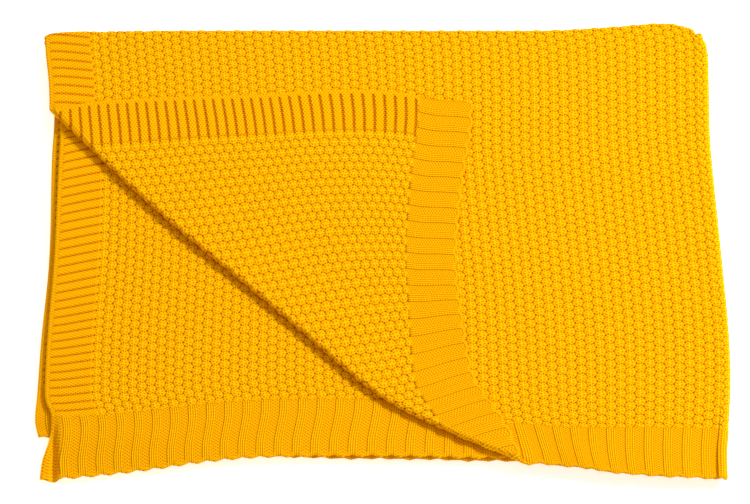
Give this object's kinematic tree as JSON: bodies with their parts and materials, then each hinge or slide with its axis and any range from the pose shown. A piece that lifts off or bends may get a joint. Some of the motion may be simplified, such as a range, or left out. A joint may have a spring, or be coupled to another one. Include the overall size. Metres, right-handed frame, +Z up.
{
  "type": "folded throw blanket",
  "caption": "Chunky knitted throw folded into a flat quarter with one corner turned back; bobble field, ribbed ends, ridged side bands.",
  "frame": {"origin": "midway across the folded throw, on the surface that it lies on", "axes": "+X along the long side towards the last fold, +Y towards the first fold, +Z up"},
  "size_m": [0.6843, 0.496, 0.0236],
  "materials": {
    "bobble_knit": "matt cotton knit, bobble pattern",
    "rib_knit": "matt cotton knit, wide rib",
    "ridge_knit": "matt cotton knit, cross ridges",
    "edge_knit": "matt cotton knit, smooth edge"
  },
  "bodies": {
    "lower_half": {"bottom_field": "bobble_knit", "bottom_end_rib": "rib_knit", "bottom_cast_off": "edge_knit", "bottom_side_band": "ridge_knit", "bottom_selvedge": "edge_knit", "third_field": "bobble_knit", "third_end_rib": "rib_knit", "third_cast_off": "edge_knit", "third_side_band": "ridge_knit", "third_selvedge": "edge_knit", "lower_first_fold": "bobble_knit", "outer_last_fold": "bobble_knit", "inner_last_fold": "bobble_knit", "crossed_fold": "bobble_knit"},
    "upper_half": {"second_field": "bobble_knit", "second_end_rib": "rib_knit", "second_cast_off": "edge_knit", "second_side_band": "ridge_knit", "second_selvedge": "edge_knit", "top_field": "bobble_knit", "top_end_rib": "rib_knit", "top_cast_off": "edge_knit", "top_side_band": "ridge_knit", "top_selvedge": "edge_knit", "upper_first_fold": "bobble_knit", "corner_crease": "bobble_knit"},
    "turned_corner": {"corner_field": "bobble_knit", "corner_end_rib": "rib_knit", "corner_cast_off": "edge_knit", "corner_side_band": "ridge_knit", "corner_selvedge": "edge_knit"}
  },
  "joints": [
    {"name": "last_fold", "type": "hinge", "parent": "lower_half", "child": "upper_half", "pos_m": [0.32152, 0, 0.0094], "axis": [-0.0454, 0.999, 0], "range_deg": [0, 180], "deforming": ["outer_last_fold", "inner_last_fold", "crossed_fold"]},
    {"name": "corner_fold", "type": "hinge", "parent": "upper_half", "child": "turned_corner", "pos_m": [-0.10926, -0.03562, 0.019], "axis": [0.7487, -0.6629, 0], "range_deg": [0, 180], "deforming": ["corner_crease"]}
  ]
}
